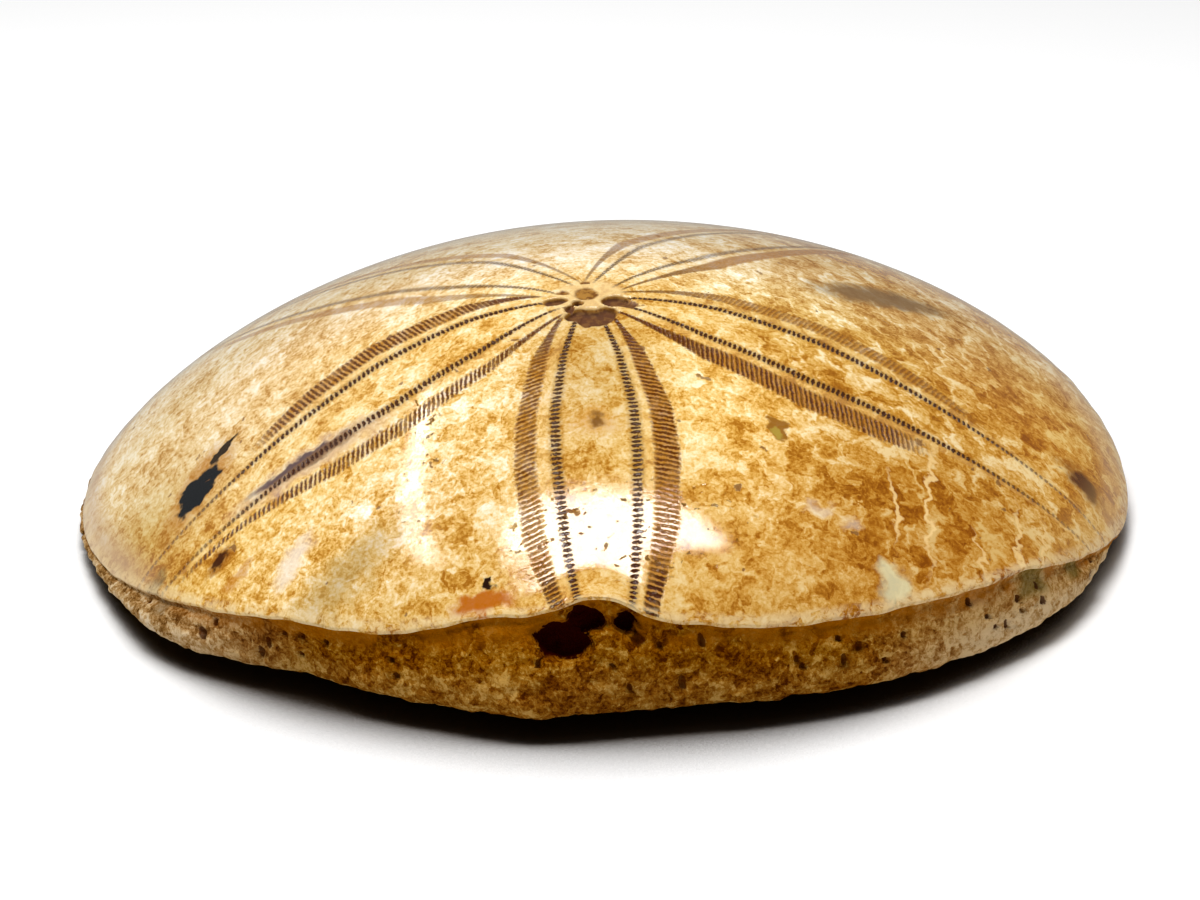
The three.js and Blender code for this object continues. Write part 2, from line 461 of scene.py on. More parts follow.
# The mesh: the rings skinned into one closed body and set where the frame's node stands.
top_point = np.array([[*DISC, dome_height(np.array([DISC[0]]), np.array([DISC[1]]))[0]]])
bottom_point = np.array([[PEAK[0], PEAK[1], MOUTH_DEPTH]])
points = np.concatenate([top_point, grid.reshape(-1, 3), bottom_point])
node_low, node_high = (np.array(corner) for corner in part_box(NODE))
scale = (node_high - node_low) / (plain_high - plain_low)
points = (points - plain_low) * scale + node_low

i, j = np.meshgrid(np.arange(RINGS - 1), np.arange(SEGMENTS), indexing="ij")
upper, upper_next = 1 + i * SEGMENTS + j, 1 + i * SEGMENTS + (j + 1) % SEGMENTS
quads = np.stack([upper, upper + SEGMENTS, upper_next + SEGMENTS, upper_next], axis=-1)
quads = quads.reshape(-1, 4)
first = np.arange(SEGMENTS)
last_ring = 1 + (RINGS - 1) * SEGMENTS
cap_top = np.stack([np.zeros_like(first), 1 + first, 1 + (first + 1) % SEGMENTS], axis=-1)
foot = np.full_like(first, len(points) - 1)
cap_foot = np.stack([last_ring + first, foot, last_ring + (first + 1) % SEGMENTS], axis=-1)

mesh = bpy.data.meshes.new("fossil_stone")
mesh.from_pydata(points.tolist(), [], cap_top.tolist() + quads.tolist() + cap_foot.tolist())
mesh.shade_smooth()

flank_share = np.clip((ring_number - flank_first) / (flank_last - flank_first), 0, 1.5)
dome_share = np.ones(grid.shape[:2])
dome_share[:polished_rings] = np.array(dome_shares)[:, None]
point_values = {
    **petal,
    "rim_share": dome_share,
    "flank_share": flank_share,
    "pit": pit_mask,
    "hollow": hollow_mask,
    "disc_dark": disc_dark,
}
for name, value in point_values.items():
    layer = mesh.attributes.new(name, "FLOAT", "POINT")
    with_caps = np.concatenate([[value[0, 0]], value.ravel(), [value[-1, 0]]])
    layer.data.foreach_set("value", with_caps)

stone = bpy.data.objects.new("fossil_stone", mesh)
bpy.context.scene.collection.objects.link(stone)
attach(stone, "root")
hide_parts(NODE)


# Colours and shader nodes for the stone's two materials.
def linear(red, green, blue):
    def one(c):
        c = c / 255
        return c / 12.92 if c <= 0.04045 else ((c + 0.055) / 1.055) ** 2.4

    return (one(red), one(green), one(blue), 1.0)


class Nodes:
    """Adds nodes to one tree. A value may be a number, a colour or another node's socket."""

    def __init__(self, tree):
        self.tree = tree

    def feed(self, socket, value):
        if isinstance(value, bpy.types.NodeSocket):
            self.tree.links.new(value, socket)
        elif value is not None:
            socket.default_value = value

    def add(self, kind, out=0, inputs=(), **settings):
        node = self.tree.nodes.new(kind)
        for name, value in settings.items():
            setattr(node, name, value)
        for key, value in dict(inputs).items():
            self.feed(node.inputs[key], value)
        return node.outputs[out]

    def math(self, operation, a, b=None, clamp=False):
        values = {0: a} if b is None else {0: a, 1: b}
        return self.add("ShaderNodeMath", 0, values, operation=operation, use_clamp=clamp)

    def vector(self, operation, a, b=None, scale=None):
        values = {0: a}
        if b is not None:
            values[1] = b
        if scale is not None:
            values["Scale"] = scale
        return self.add("ShaderNodeVectorMath", 0, values, operation=operation)

    def step(self, value, low, high):
        inputs = {"Value": value, "From Min": low, "From Max": high}
        return self.add("ShaderNodeMapRange", 0, inputs, interpolation_type="SMOOTHSTEP")

    def mix(self, factor, a, b, blend="MIX"):
        node = self.tree.nodes.new("ShaderNodeMix")
        node.data_type = "RGBA"
        node.blend_type = blend
        for socket, value in zip((node.inputs[0], node.inputs[6], node.inputs[7]), (factor, a, b)):
            self.feed(socket, value)
        return node.outputs[2]

    def blend(self, factor, a, b):
        return self.add("ShaderNodeMix", 0, {0: factor, 2: a, 3: b})

    def cloud(self, place, scale, detail=3.0, rough=0.5, distort=0.0):
        inputs = {"Vector": place, "Scale": scale, "Detail": detail, "Roughness": rough}
        return self.add("ShaderNodeTexNoise", "Fac", {**inputs, "Distortion": distort})

    def attribute(self, name):
        return self.add("ShaderNodeAttribute", "Fac", (), attribute_name=name)

    def both(self, *masks):
        total = masks[0]
        for mask in masks[1:]:
            total = self.math("MULTIPLY", total, mask)
        return total


# A stain's mask: an oval spot in the plan of the stone, with a ragged edge.
stain_group = bpy.data.node_groups.new("stain", "ShaderNodeTree")
for name, kind, default in [
    ("Place", "NodeSocketVector", (0, 0, 0)),
    ("Centre", "NodeSocketVector", (0, 0, 0)),
    ("Turn", "NodeSocketFloat", 0.0),
    ("Size", "NodeSocketVector", (1, 1, 1)),
    ("Softness", "NodeSocketFloat", 0.3),
]:
    socket = stain_group.interface.new_socket(name, in_out="INPUT", socket_type=kind)
    socket.default_value = default
stain_group.interface.new_socket("Mask", in_out="OUTPUT", socket_type="NodeSocketFloat")
build = Nodes(stain_group)
given = stain_group.nodes.new("NodeGroupInput").outputs
result = stain_group.nodes.new("NodeGroupOutput").inputs
offset = build.vector("SUBTRACT", given["Place"], given["Centre"])
turned = build.add(
    "ShaderNodeVectorRotate", 0, {"Vector": offset, "Angle": given["Turn"]}, rotation_type="Z_AXIS"
)
scaled = build.vector("DIVIDE", turned, given["Size"])
reach = build.add("ShaderNodeVectorMath", "Value", {0: scaled}, operation="LENGTH")
low = build.math("SUBTRACT", 1.0, given["Softness"])
high = build.math("ADD", 1.0, given["Softness"])
inputs = {"Value": reach, "From Min": low, "From Max": high, "To Min": 1.0, "To Max": 0.0}
build.feed(
    result["Mask"], build.add("ShaderNodeMapRange", 0, inputs, interpolation_type="SMOOTHSTEP")
)


def stain(build, place, x, y, half_x, half_y, turn=0.0, softness=0.3):
    node = build.tree.nodes.new("ShaderNodeGroup")
    node.node_tree = stain_group
    build.feed(node.inputs["Place"], place)
    node.inputs["Centre"].default_value = (x, y, 0)
    node.inputs["Turn"].default_value = math.radians(-turn)
    node.inputs["Size"].default_value = (half_x, half_y, 1000)
    node.inputs["Softness"].default_value = softness
    return node.outputs["Mask"]


def new_material(name):
    material = bpy.data.materials.new(name)
    material.use_nodes = True
    tree = material.node_tree
    return material, Nodes(tree), tree.nodes["Principled BSDF"].inputs


# Polished shell: cream and honey calcite, mottled with ochre and veined, under a bright gloss.
shell, build, surface = new_material("polished_shell")
centre_shift = Vector((node_low / MM) - plain_low)


def place_in(build):
    metres = build.add("ShaderNodeTexCoord", "Object")
    millimetres = build.vector("SCALE", metres, scale=1 / MM)
    return build.vector("SUBTRACT", millimetres, tuple(centre_shift))


place = place_in(build)
wobble = build.add("ShaderNodeTexNoise", "Color", {"Vector": place, "Scale": 0.8, "Detail": 4.0})
wobble = build.vector("SUBTRACT", wobble, (0.5, 0.5, 0.5))
ragged = build.vector("ADD", place, build.vector("SCALE", wobble, scale=2.4))
east = build.add("ShaderNodeSeparateXYZ", "X", {"Vector": place})
north = build.add("ShaderNodeSeparateXYZ", "Y", {"Vector": place})

GOLD_STEPS = [
    (0.20, linear(168, 104, 20)),
    (0.37, linear(202, 144, 50)),
    (0.50, linear(224, 174, 84)),
    (0.64, linear(238, 198, 118)),
    (0.80, linear(248, 218, 154)),
    (1.00, linear(254, 234, 188)),
]
AMBER_STEPS = [
    (0.20, linear(148, 86, 4)),
    (0.37, linear(176, 112, 18)),
    (0.50, linear(200, 140, 42)),
    (0.64, linear(218, 166, 76)),
    (0.80, linear(236, 196, 124)),
    (1.00, linear(250, 226, 176)),
]
PALE_STEPS = [
    (0.20, linear(184, 136, 70)),
    (0.37, linear(214, 172, 106)),
    (0.50, linear(231, 199, 142)),
    (0.64, linear(241, 217, 170)),
    (0.80, linear(250, 234, 200)),
    (1.00, linear(255, 247, 226)),
]


def ramp(build, value, steps):
    node = build.tree.nodes.new("ShaderNodeValToRGB")
    elements = node.color_ramp.elements
    while len(elements) < len(steps):
        elements.new(0.5)
    for element, (position, tint) in zip(elements, steps):
        element.position = position
        element.color = tint
    build.feed(node.inputs["Fac"], value)
    return node.outputs["Color"]


def weighted(build, start, *parts):
    total = start
    for value, weight in parts:
        centred = build.math("MULTIPLY", build.math("SUBTRACT", value, 0.5), weight)
        total = build.math("ADD", total, centred)
    return total


def plates(build, place, scale):
    cells = build.tree.nodes.new("ShaderNodeTexVoronoi")
    build.feed(cells.inputs["Vector"], place)
    cells.inputs["Scale"].default_value = scale
    return build.add("ShaderNodeSeparateColor", "Red", {"Color": cells.outputs["Color"]})


right_side = build.step(east, 0.0, 20.0)
left_side = build.step(east, -10.0, -34.0)
back_side = build.step(north, -11.0, 4.0)
low_front = build.step(north, -8.0, -20.0)
large = build.cloud(place, 0.1, 2.0)
patches = build.cloud(ragged, 0.36, 4.0, 0.62)
mottle = build.cloud(ragged, 1.35, 4.0, 0.68)
grain = build.cloud(place, 4.2, 3.0, 0.65)
contour = build.vector("MULTIPLY", place, (0.3, 0.3, 2.0))
streaks = build.cloud(contour, 1.0, 4.0, 0.65, 0.6)
coarse_plates = plates(build, ragged, 0.62)
fine_plates = plates(build, ragged, 1.7)
plain_side = build.math("MAXIMUM", left_side, back_side)
plate_weight = build.blend(plain_side, build.blend(right_side, 0.22, 0.32), 0.1)
streak_weight = build.blend(plain_side, 0.1, 0.9)
mottle_weight = build.blend(right_side, 0.85, 0.75)
grain_weight = build.blend(right_side, 0.85, 0.6)
patch_weight = build.blend(right_side, 0.75, 0.85)
tone = weighted(build, 0.5, (large, 0.4), (patches, patch_weight), (mottle, mottle_weight))
tone = weighted(build, tone, (grain, grain_weight))
tone = weighted(build, tone, (streaks, streak_weight))
tone = weighted(build, tone, (coarse_plates, plate_weight), (fine_plates, 0.2))

# Pale veins between the crystals, clearest on the right.
veins = build.add(
    "ShaderNodeTexVoronoi",
    "Distance",
    {"Vector": build.vector("MULTIPLY", ragged, (1.2, 0.6, 0.6)), "Scale": 0.42, "Randomness": 1.0},
    feature="DISTANCE_TO_EDGE",
)
vein = build.math("MULTIPLY", build.step(veins, 0.13, 0.01), build.step(patches, 0.36, 0.6))
vein = build.math("MULTIPLY", vein, build.blend(right_side, 0.1, 0.3))
fine = build.add(
    "ShaderNodeTexVoronoi",
    "Distance",
    {"Vector": ragged, "Scale": 1.5, "Randomness": 1.0},
    feature="DISTANCE_TO_EDGE",
)
vein = build.math("ADD", vein, build.math("MULTIPLY", build.step(fine, 0.2, 0.02), 0.1))
tone = build.math("ADD", tone, vein)

# The left and back take the pale palette: partly the stone's own cream, partly painted sheen.
high_left = build.math("MULTIPLY", left_side, build.math("SUBTRACT", 1.0, low_front))
pale_share = build.math("MAXIMUM", build.math("MULTIPLY", high_left, 0.9), back_side)
pale_share = build.math("MULTIPLY", pale_share, build.blend(right_side, 1.0, 0.3))
colour = build.mix(right_side, ramp(build, tone, GOLD_STEPS), ramp(build, tone, AMBER_STEPS))
colour = build.mix(pale_share, colour, ramp(build, tone, PALE_STEPS))

# Broad lighter and darker regions: place, half sizes and the tint that multiplies them.
for x, y, half_x, half_y, tint in [
    (-9.7, -20.0, 6.0, 8.0, (1.09, 1.2, 1.75, 1)),
    (-12.0, -29.5, 7.0, 4.0, (1.0, 1.02, 1.05, 1)),
    (-20.0, -25.0, 6.0, 4.0, (1.1, 1.22, 1.8, 1)),
    (7.5, -21.5, 4.0, 7.0, (1.13, 1.18, 1.35, 1)),
    (13.0, -4.5, 7.0, 5.0, (1.13, 1.25, 1.4, 1)),
    (2.0, 1.0, 9.0, 7.0, (1.13, 1.22, 1.5, 1)),
    (-12.0, -2.9, 6.0, 5.0, (1.08, 1.17, 1.45, 1)),
    (-23.5, -0.8, 7.0, 6.0, (1.04, 1.05, 1.15, 1)),
    (-2.0, -16.0, 4.0, 6.5, (0.73, 0.68, 0.58, 1)),
    (9.0, -33.0, 25.0, 7.0, (0.83, 0.73, 0.56, 1)),
    (-35.5, -13.5, 5.0, 7.0, (0.7, 0.59, 0.32, 1)),
    (32.5, -5.5, 7.0, 10.0, (0.93, 0.78, 0.43, 1)),
    (23.5, -24.5, 9.0, 6.0, (0.75, 0.62, 0.37, 1)),
]:
    region = stain(build, place, x, y, half_x, half_y, 0, 0.95)
    colour = build.mix(region, colour, tint, "MULTIPLY")

# Mineral patches and stains: place, half sizes, turn, softness, tint and strength.
for x, y, half_x, half_y, turn, softness, tint, strength in [
    (20.0, 3.6, 6.2, 1.7, 36, 0.5, linear(132, 100, 62), 0.92),
    (-30.2, -10.6, 3.6, 2.0, 62, 0.35, linear(176, 112, 36), 0.6),
    (-30.4, -11.2, 1.8, 1.55, 62, 0.12, linear(30, 32, 34), 1.0),
    (-28.7, -8.5, 1.3, 0.5, 55, 0.2, linear(52, 40, 28), 1.0),
    (-21.5, -16.2, 5.2, 1.3, 2, 0.5, linear(196, 176, 168), 0.55),
    (-22.2, -16.0, 3.6, 0.62, 2, 0.3, linear(88, 70, 74), 0.95),
    (-28.1, -19.7, 0.95, 0.75, 0, 0.5, linear(140, 78, 20), 0.7),
    (-28.1, -19.7, 0.5, 0.42, 0, 0.3, linear(58, 24, 6), 0.95),
    (-26.6, -22.1, 1.0, 0.5, 20, 0.5, linear(190, 120, 40), 0.6),
    (-18.8, -26.6, 3.6, 1.4, 20, 0.8, linear(158, 128, 70), 0.6),
    (-22.5, -23.8, 1.5, 0.8, 40, 0.5, linear(240, 226, 208), 0.7),
    (-2.0, -20.9, 1.6, 1.0, 0, 0.8, linear(206, 148, 66), 0.7),
    (-2.0, -20.9, 0.55, 0.45, 0, 0.6, linear(108, 64, 14), 0.85),
    (9.9, -21.0, 0.75, 0.95, 20, 0.18, linear(146, 94, 24), 0.95),
    (9.8, -21.4, 0.35, 0.4, 20, 0.4, linear(176, 152, 62), 0.8),
    (12.2, -26.7, 0.9, 0.45, 10, 0.7, linear(232, 216, 190), 0.5),
    (14.4, -27.2, 0.7, 0.4, 10, 0.7, linear(232, 216, 190), 0.4),
    (32.6, -11.3, 1.5, 1.7, 20, 0.6, linear(146, 88, 24), 0.8),
    (32.6, -11.3, 0.95, 1.1, 20, 0.4, linear(84, 40, 8), 0.95),
    (-9.6, -31.6, 2.0, 0.7, -4, 0.35, linear(182, 96, 4), 0.95),
    (-9.2, -30.6, 0.35, 0.3, 0, 0.3, linear(36, 14, 4), 1.0),
    (-33.5, -17.0, 1.0, 0.8, 30, 0.5, linear(96, 82, 48), 0.8),
    (16.6, -30.3, 1.0, 1.1, 0, 0.5, linear(220, 212, 168), 0.8),
    (19.9, -23.1, 0.2, 5.4, -9, 0.5, linear(244, 208, 142), 0.85),
    (17.4, -25.0, 0.18, 2.4, -4, 0.5, linear(244, 208, 142), 0.8),
    (22.9, -26.4, 0.15, 2.0, 6, 0.5, linear(240, 204, 138), 0.7),
    (25.9, -22.8, 0.16, 3.2, -6, 0.5, linear(240, 204, 138), 0.8),
    (27.8, -22.6, 0.14, 2.6, -8, 0.5, linear(240, 204, 138), 0.7),
]:
    mask = stain(build, ragged, x, y, half_x, half_y, turn, softness)
    colour = build.mix(build.math("MULTIPLY", mask, strength), colour, tint)

# Petals: tinted bands crossed by dark slits, a plain strip, and a row of round pores.
across = build.attribute("petal_across")
petal_share = build.attribute("petal_share")
wander = build.math("MULTIPLY", build.math("SUBTRACT", build.cloud(place, 1.3, 2.0), 0.5), 0.7)
fray = build.math("MULTIPLY", build.math("SUBTRACT", build.cloud(place, 6.0, 2.0), 0.5), 0.66)
slit_phase = build.math("FRACT", build.math("ADD", build.attribute("slit_count"), wander))
slit_off = build.math("ADD", build.math("ABSOLUTE", build.math("SUBTRACT", slit_phase, 0.5)), fray)
pore_phase = build.math("FRACT", build.math("ADD", build.attribute("pore_count"), wander))
pore_off = build.math("ADD", build.math("ABSOLUTE", build.math("SUBTRACT", pore_phase, 0.5)), fray)
near_rim = build.step(petal_share, 0.86, 0.95)
near_disc = build.step(petal_share, 0.30, 0.12)
ragged_across = build.math("ADD", across, build.math("MULTIPLY", fray, 0.25))
band_start = build.attribute("slit_start")
past_start = build.math("SUBTRACT", ragged_across, band_start)
past_start = {"Value": past_start, "From Min": -0.05, "From Max": 0.06}
in_band = build.both(
    build.add("ShaderNodeMapRange", 0, past_start), build.step(ragged_across, 2.08, 1.96)
)
patchy = {"Value": build.cloud(place, 0.9, 3.0), "From Min": 0.3, "From Max": 0.52, "To Min": 0.55}
patchy = build.add("ShaderNodeMapRange", 0, patchy)
slit_half = build.blend(near_disc, 0.36, 0.6)
slit_half = build.math("ADD", slit_half, build.math("MULTIPLY", near_rim, 0.04))
# Where the front highlight falls, the slits are painted fainter, as if bleached by it.
front_highlight_zone = stain(build, ragged, -1.0, -28.2, 9.0, 2.9, 0, 0.3)
slit = build.both(
    build.step(build.math("SUBTRACT", slit_off, slit_half), 0.0, -0.16),
    in_band,
    build.attribute("slits"),
    patchy,
    build.blend(front_highlight_zone, 1.0, 0.6),
)
band = build.both(in_band, build.attribute("band"))
slit_groove = build.math("SUBTRACT", 1.0, build.math("DIVIDE", slit_off, slit_half), clamp=True)
slit_groove = build.both(slit_groove, in_band, build.attribute("slits"))
strip = build.both(
    build.step(across, 1.1, 1.2), build.step(across, 1.5, 1.4), build.step(petal_share, 0.05, 0.12)
)
row_away = build.math("DIVIDE", build.math("SUBTRACT", ragged_across, 1.0), 0.14)
pore_reach = build.math(
    "ADD",
    build.math("MULTIPLY", row_away, row_away),
    build.math("POWER", build.math("DIVIDE", pore_off, build.blend(near_disc, 0.36, 0.5)), 2.0),
)
pore = build.both(build.step(pore_reach, 1.25, 0.6), build.attribute("rows"))
pore_groove = build.math("SUBTRACT", 1.0, build.math("DIVIDE", pore_reach, 1.2), clamp=True)
pore_groove = build.both(pore_groove, build.attribute("rows"))
near_row = build.step(build.math("ABSOLUTE", row_away), 1.8, 0.8)
row_tint = build.both(near_row, build.attribute("rows"))

OCHRE_BAND = linear(176, 114, 28)
OLIVE_BAND = linear(122, 74, 4)
SLIT = linear(94, 42, 0)
STRIP = linear(232, 192, 122)
ROW_TINT = linear(150, 104, 40)
PORE = linear(64, 26, 0)
MAROON = linear(58, 8, 0)
band_tint = build.mix(near_disc, OCHRE_BAND, OLIVE_BAND)
slit_tint = build.mix(near_rim, SLIT, MAROON)
pore_tint = build.mix(near_rim, PORE, MAROON)
colour = build.mix(build.math("MULTIPLY", strip, 0.22), colour, STRIP)
colour = build.mix(build.math("MULTIPLY", row_tint, 0.45), colour, ROW_TINT)
colour = build.mix(build.math("MULTIPLY", band, 0.85), colour, band_tint)
colour = build.mix(build.math("MULTIPLY", slit, 0.95), colour, slit_tint)
colour = build.mix(build.math("MULTIPLY", pore, 0.97), colour, pore_tint)

# Apical disc: a cream frame round the sunken, darker plates.
DISC_FRAME = linear(240, 208, 150)
PLATE_DARK = linear(112, 64, 6)
PLATE_LIGHT = linear(168, 118, 44)
DEEP_PLATE = linear(88, 46, 8)
from_disc = build.vector("SUBTRACT", place, (float(DISC[0]), float(DISC[1]), 0))
from_disc = build.vector("MULTIPLY", from_disc, (1, 1, 0))
disc_reach = build.add("ShaderNodeVectorMath", "Value", {0: from_disc}, operation="LENGTH")
frame_ring = build.math("MULTIPLY", build.step(disc_reach, 3.1, 2.2), 0.6)
colour = build.mix(frame_ring, colour, DISC_FRAME)
sunken = build.attribute("disc_dark")
plate_tint = build.mix(build.step(mottle, 0.4, 0.58), PLATE_DARK, PLATE_LIGHT)
colour = build.mix(build.step(sunken, 0.12, 0.42), colour, plate_tint)
deep = build.blend(build.step(build.cloud(place, 2.2, 3.0), 0.4, 0.6), 0.75, 1.0)
colour = build.mix(build.both(build.step(sunken, 0.4, 0.8), deep), colour, DEEP_PLATE)

# Small pits where grains tore out under the wheel, and finer specks in the highlights in front.
PIT_TINT = linear(110, 66, 18)
SPECK_TINT = linear(104, 64, 14)
pit_cells = build.tree.nodes.new("ShaderNodeTexVoronoi")
build.feed(pit_cells.inputs["Vector"], ragged)
pit_cells.inputs["Scale"].default_value = 0.55
chance = build.add("ShaderNodeSeparateColor", "Red", {"Color": pit_cells.outputs["Color"]})
pit_size = build.math("MULTIPLY", build.step(chance, 0.55, 1.0), 0.17)
pit = build.step(build.math("SUBTRACT", pit_cells.outputs["Distance"], pit_size), 0.015, -0.03)
pit = build.math("MULTIPLY", pit, build.step(chance, 0.55, 0.62))
colour = build.mix(build.math("MULTIPLY", pit, 0.75), colour, PIT_TINT)
speck_cells = build.tree.nodes.new("ShaderNodeTexVoronoi")
build.feed(speck_cells.inputs["Vector"], ragged)
speck_cells.inputs["Scale"].default_value = 1.5
chance = build.add("ShaderNodeSeparateColor", "Green", {"Color": speck_cells.outputs["Color"]})
speck_size = build.math("MULTIPLY", build.step(chance, 0.1, 1.0), 0.28)
speck_off = speck_cells.outputs["Distance"]
speck = build.step(build.math("SUBTRACT", speck_off, speck_size), 0.02, -0.03)
has_speck = build.step(chance, 0.25, 0.35)
speck = build.math("MULTIPLY", speck, has_speck)
# Specks are painted dark only where the two highlights fall, where pits break the reflection.
front = build.math(
    "MAXIMUM",
    stain(build, place, -0.5, -28.6, 8.0, 3.0, 0, 0.3),
    stain(build, place, -14.0, -20.5, 1.8, 5.5, 0, 0.3),
)
speck = build.math("MULTIPLY", speck, front)
speck_reach = build.math("DIVIDE", speck_off, build.math("ADD", speck_size, 0.02))
speck_groove = build.math("SUBTRACT", 1.0, speck_reach, clamp=True)
speck_groove = build.both(speck_groove, front, has_speck)
colour = build.mix(build.math("MULTIPLY", speck, 0.8), colour, SPECK_TINT)

# Painted sheen pales the two ends by the rim, and a painted highlight runs along the polished edge.
PAINTED_SHEEN_RIGHT = linear(208, 168, 104)
PAINTED_SHEEN_LEFT = linear(200, 170, 138)
RIM_HIGHLIGHT = linear(232, 206, 156)
rim_share = build.attribute("rim_share")
wear_and_sheen = build.both(build.step(rim_share, 0.9, 0.98), build.step(east, 24.0, 34.0))
colour = build.mix(build.math("MULTIPLY", wear_and_sheen, 0.35), colour, PAINTED_SHEEN_RIGHT)
wear_and_sheen = build.both(build.step(rim_share, 0.93, 0.985), build.step(east, -31.0, -37.0))
colour = build.mix(build.math("MULTIPLY", wear_and_sheen, 0.7), colour, PAINTED_SHEEN_LEFT)
rim_highlight = build.both(build.step(rim_share, 0.98, 0.996), build.step(mottle, 0.38, 0.55))
colour = build.mix(build.math("MULTIPLY", rim_highlight, 0.6), colour, RIM_HIGHLIGHT)

build.feed(surface["Base Color"], colour)

# Polish: pores are cut as deep as GROOVE_DEPTH times a pit, and shallower where they are worn.
GROOVE_DEPTH = 9.0
TORN_ROUGHNESS = 0.8
POLISH_RELIEF = 0.015 * MM
worn_depth = build.blend(build.step(mottle, 0.42, 0.56), 1.5, 5.0)
grooves = build.both(
    build.math("MAXIMUM", slit_groove, pore_groove),
    build.blend(front_highlight_zone, GROOVE_DEPTH, worn_depth),
)
grooves = build.math("MAXIMUM", grooves, build.math("MULTIPLY", speck_groove, GROOVE_DEPTH))
gloss = build.blend(build.step(mottle, 0.35, 0.7), 0.03, 0.07)
torn_out = build.math("MAXIMUM", pit, sunken)
build.feed(surface["Roughness"], build.blend(torn_out, gloss, TORN_ROUGHNESS))
surface["Specular IOR Level"].default_value = 0.38
relief_height = weighted(build, 0.0, (mottle, 0.5), (grain, 0.35))
relief_height = build.math("SUBTRACT", relief_height, build.math("MAXIMUM", pit, grooves))
bump = {"Height": relief_height, "Distance": POLISH_RELIEF, "Strength": 0.7}
build.feed(surface["Normal"], build.add("ShaderNodeBump", 0, bump))

# Rough matrix: brown sandy sediment with dark and pale grains, paler at the two ends.
matrix, build, surface = new_material("rough_matrix")
GRAIN_RELIEF = 0.3 * MM
UNDER_RIM = linear(152, 86, 2)
PIT_BROWN = linear(74, 26, 0)
HOLLOW_RED = linear(42, 4, 1)
SAND_STEPS = [
    (0.18, linear(74, 28, 0)),
    (0.36, linear(118, 62, 0)),
    (0.50, linear(144, 86, 4)),
    (0.64, linear(164, 110, 24)),
    (0.84, linear(200, 152, 70)),
]
PALE_SAND_STEPS = [
    (0.18, linear(92, 56, 18)),
    (0.36, linear(142, 104, 54)),
    (0.50, linear(176, 140, 90)),
    (0.64, linear(200, 170, 124)),
    (0.84, linear(222, 202, 170)),
]
place = place_in(build)
down = build.attribute("flank_share")
east = build.add("ShaderNodeSeparateXYZ", "X", {"Vector": place})
wobble = build.add("ShaderNodeTexNoise", "Color", {"Vector": place, "Scale": 1.1, "Detail": 3.0})
wobble = build.vector("SUBTRACT", wobble, (0.5, 0.5, 0.5))
ragged = build.vector("ADD", place, build.vector("SCALE", wobble, scale=1.2))
grain = build.cloud(place, 1.3, 4.0, 0.7, 0.8)
specks = build.cloud(place, 4.5, 3.0, 0.7, 0.5)
clods = build.cloud(place, 0.3, 3.0, 0.6)
tone = weighted(build, 0.44, (grain, 1.05), (specks, 0.9), (clods, 0.6))
tone = build.math("ADD", tone, build.math("MULTIPLY", build.step(east, 10.0, 24.0), 0.25))
tone = weighted(build, tone, (plates(build, ragged, 1.2), 0.25), (plates(build, ragged, 2.6), 0.25))
lower = build.step(down, 0.4, 0.9)
lower_rise = build.blend(build.step(east, 0.0, -14.0), 0.06, 0.16)
tone = build.math("ADD", tone, build.math("MULTIPLY", lower, lower_rise))
under_rim = build.math("MULTIPLY", build.step(down, 0.38, 0.05), build.step(clods, 0.36, 0.52))
left_end = build.step(east, -20.0, -36.0)
right_end = build.math("MULTIPLY", build.step(east, 12.0, 25.0), build.blend(lower, 0.3, 0.6))
pale_share = build.math("MAXIMUM", build.math("MULTIPLY", left_end, 0.9), right_end)
pale_share = build.math("MAXIMUM", pale_share, build.math("MULTIPLY", lower, 0.05))
colour = build.mix(pale_share, ramp(build, tone, SAND_STEPS), ramp(build, tone, PALE_SAND_STEPS))
under_rim = build.math("MULTIPLY", under_rim, build.blend(left_end, 0.8, 0.1))
colour = build.mix(under_rim, colour, UNDER_RIM)
upper_flank = build.step(down, 0.6, 0.3)

# Greenish stains just under the rim: place, half sizes, turn, tint and strength.
for x, y, half_x, half_y, turn, tint, strength in [
    (26.6, -25.2, 1.5, 0.8, 42, linear(92, 80, 30), 0.7),
    (29.8, -21.2, 0.9, 0.6, 50, linear(92, 80, 30), 0.7),
    (-32.6, -18.6, 1.0, 0.8, 30, linear(110, 84, 50), 0.6),
]:
    mask = build.both(stain(build, ragged, x, y, half_x, half_y, turn, 0.5), upper_flank)
    colour = build.mix(build.math("MULTIPLY", mask, strength), colour, tint)

# The pits and the two hollows show dark, with torn edges.
torn = build.math("MULTIPLY", build.math("SUBTRACT", grain, 0.5), 1.6)
pit = build.step(build.math("ADD", build.attribute("pit"), torn), 0.38, 0.55)
hollow = build.step(build.math("ADD", build.attribute("hollow"), torn), 0.4, 0.55)
colour = build.mix(build.math("MULTIPLY", pit, 0.85), colour, PIT_BROWN)
colour = build.mix(hollow, colour, HOLLOW_RED)
build.feed(surface["Base Color"], colour)
surface["Roughness"].default_value = 0.7
surface["Specular IOR Level"].default_value = 0.0
bump_height = weighted(build, 0.0, (grain, 1.0), (specks, 0.5))
bump = {"Height": bump_height, "Distance": GRAIN_RELIEF, "Strength": 0.9}
build.feed(surface["Normal"], build.add("ShaderNodeBump", 0, bump))

mesh.materials.append(shell)
mesh.materials.append(matrix)
quad_rings = np.repeat(np.arange(RINGS - 1), SEGMENTS)
face_rings = np.concatenate([np.zeros(SEGMENTS), quad_rings, np.full(SEGMENTS, RINGS)])
MATRIX_FROM = flank_first - 2  # the lower half of the lip is unpolished
mesh.polygons.foreach_set("material_index", (face_rings >= MATRIX_FROM).astype(int))
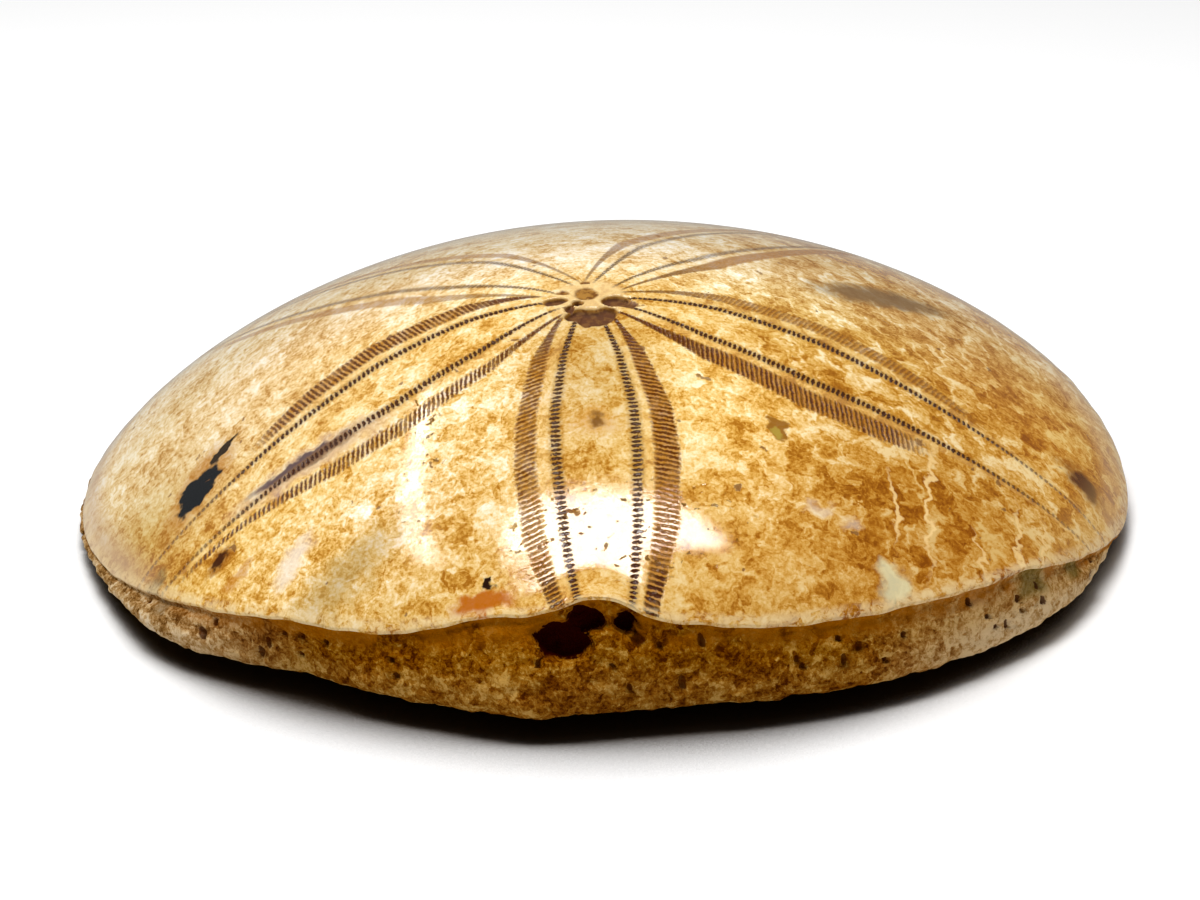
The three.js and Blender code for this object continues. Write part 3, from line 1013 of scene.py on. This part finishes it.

# ---------------------------------------------------------------------------------------------
# Studio. A plain white table, with a contact shadow painted round the stone, in a white room,
# under soft lamps: two wide boxes overhead and a narrow strip that stands to the left.

PAINTED_SHADOW_REACH = 25 * MM
PAINTED_SHADOW = linear(46, 34, 20)
floor_mesh = bpy.data.meshes.new("floor")
FLOOR_HALF = 2.0
floor_mesh.from_pydata(
    [(x * FLOOR_HALF, y * FLOOR_HALF, 0) for x, y in [(-1, -1), (1, -1), (1, 1), (-1, 1)]],
    [],
    [(0, 1, 2, 3)],
)
floor = bpy.data.objects.new("floor", floor_mesh)
bpy.context.scene.collection.objects.link(floor)
paper, build, surface = new_material("white_table")
surface["Roughness"].default_value = 0.9
surface["Specular IOR Level"].default_value = 0.0
# Painted contact shadow: occlusion tilted to the back darkens the table, as if lit from behind.
# So in front of the stone the painted shadow goes nearly black.
painted_shadow_openness = {"Distance": PAINTED_SHADOW_REACH, "Normal": (0.0, 0.6, 0.8)}
painted_shadow_openness = build.add("ShaderNodeAmbientOcclusion", "AO", painted_shadow_openness, samples=8)
over = build.add("ShaderNodeTexCoord", "Object")
over = build.add("ShaderNodeSeparateXYZ", "X", {"Vector": over})
# The painted shadow is made lighter towards the two ends of the stone.
ends = build.step(build.math("ABSOLUTE", build.math("ADD", over, 8 * MM)), 16 * MM, 44 * MM)
painted_shadow_openness = build.math("ADD", painted_shadow_openness, build.math("MULTIPLY", ends, 0.24))
painted_shadow_colour = build.mix(build.step(painted_shadow_openness, 0.46, 0.9), PAINTED_SHADOW, (1, 1, 1, 1))
# The polish mirrors a darker table than the one in view, so that the dark pores stay dark.
mirrored = build.add("ShaderNodeLightPath", "Is Glossy Ray")
shaded = build.mix(build.math("MULTIPLY", mirrored, 0.7), painted_shadow_colour, (0, 0, 0, 1))
build.feed(surface["Base Color"], shaded)
floor_mesh.materials.append(paper)

world = bpy.data.worlds.new("studio")
world.use_nodes = True
studio = Nodes(world.node_tree)
seen = studio.add("ShaderNodeLightPath", "Is Camera Ray")
way = studio.add("ShaderNodeTexCoord", "Generated")
behind = studio.step(studio.add("ShaderNodeSeparateXYZ", "Y", {"Vector": way}), -0.5, 0.9)
above = studio.step(studio.add("ShaderNodeSeparateXYZ", "Z", {"Vector": way}), 0.0, 0.8)
room = studio.blend(studio.math("MAXIMUM", behind, above), 0.06, 0.36)
backdrop = world.node_tree.nodes["Background"]
backdrop.inputs["Color"].default_value = (1, 1, 1, 1)
mirrored = studio.add("ShaderNodeLightPath", "Is Glossy Ray")
room = studio.blend(mirrored, room, studio.math("MULTIPLY", room, 0.3))
studio.feed(backdrop.inputs["Strength"], studio.blend(seen, room, 1.0))
bpy.context.scene.world = world


def panel(name, shape, place, turn, size, power):
    data = bpy.data.lights.new(name, "AREA")
    data.shape = shape
    data.size, data.size_y = size
    data.energy = power
    lamp = bpy.data.objects.new(name, data)
    lamp.location = place
    lamp.rotation_euler = (0, math.radians(turn[0]), math.radians(turn[1]))
    bpy.context.scene.collection.objects.link(lamp)


# Two overhead boxes side by side, and a narrow strip that stands to the left.
panel("overhead_front", "RECTANGLE", (-0.027, -0.058, 0.42), (0, -7), (0.227, 0.03), 0.6)
panel("overhead_back", "ELLIPSE", (-0.027, -0.038, 0.42), (0, -7), (0.2, 0.066), 0.9)
panel("left_strip", "RECTANGLE", (-0.218, 0.09, 0.35), (-32, 0), (0.024, 0.28), 0.3)

bpy.context.scene.view_settings.view_transform = "Standard"
